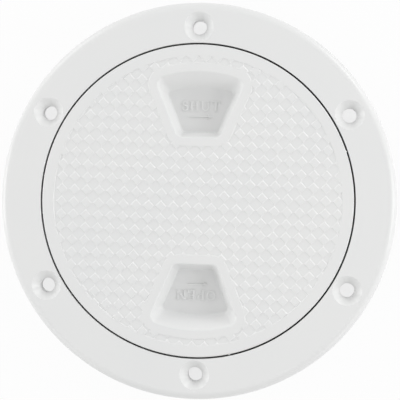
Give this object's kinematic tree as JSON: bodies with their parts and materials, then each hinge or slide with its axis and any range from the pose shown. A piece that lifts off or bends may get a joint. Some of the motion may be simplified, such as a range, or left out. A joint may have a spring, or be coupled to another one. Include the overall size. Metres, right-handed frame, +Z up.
{
  "type": "deck inspection plate",
  "caption": "Round screw-out inspection plate for a boat deck: a flanged ring with countersunk holes and a threaded collar, and a non-slip lid with finger recesses and a cord seal.",
  "frame": {"origin": "on the axis of the ring, in the plane of the deck that the flange lies on", "axes": "+Z up and out of the deck along the axis of the screw thread, +Y towards the recess marked for closing, +X to the right seen from above"},
  "size_m": [0.145, 0.145, 0.024],
  "materials": {
    "white_plastic": "moulded, satin gloss",
    "black_rubber": "matte"
  },
  "bodies": {
    "mounting_ring": {"mounting_ring": "white_plastic"},
    "seal_ring": {"seal_ring": "black_rubber"},
    "lid": {"lid": "white_plastic"}
  },
  "joints": [
    {"name": "lid_rise", "type": "slide", "parent": "mounting_ring", "child": "seal_ring", "axis": [0, 0, 1], "range_m": [0, 0.0217]},
    {"name": "lid_turn", "type": "hinge", "parent": "seal_ring", "child": "lid", "pos_m": [0, 0, 0], "axis": [0, 0, 1], "range_deg": [0, 1560]}
  ],
  "couplings": [
    {"joint": "lid_rise", "follows": "lid_turn", "m_per_rad": 0.00079577}
  ]
}
